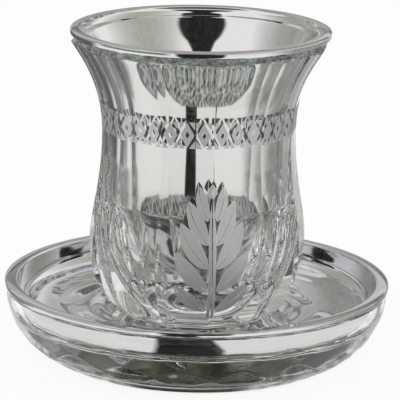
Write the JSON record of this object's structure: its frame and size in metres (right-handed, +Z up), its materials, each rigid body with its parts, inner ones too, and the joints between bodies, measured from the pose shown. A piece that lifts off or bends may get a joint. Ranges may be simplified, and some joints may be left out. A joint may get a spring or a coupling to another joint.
{
  "type": "stemless kiddush cup with saucer",
  "caption": "Stemless clear glass ceremonial wine cup with flat upright panels and a polished steel liner, standing in a matching cut-glass saucer with a steel dish.",
  "frame": {"origin": "centre of the saucer's foot, on the surface that it stands on", "axes": "+Z up along the axis of the saucer and the cup, -Y towards the front"},
  "size_m": [0.125, 0.125, 0.1073],
  "materials": {
    "crystal": "clear polished crystal glass",
    "steel": "mirror-polished stainless steel",
    "bond": "mottled cured adhesive seen through glass"
  },
  "bodies": {
    "saucer": {"saucer_glass": "crystal", "saucer_bond": "bond", "saucer_liner": "steel"},
    "cup": {"cup_glass": "crystal", "cup_bond": "bond", "cup_liner": "steel"}
  },
  "joints": [
    {"name": "cup_lift", "type": "slide", "parent": "saucer", "child": "cup", "axis": [0, 0, 1], "range_m": [0, 0.05]}
  ]
}
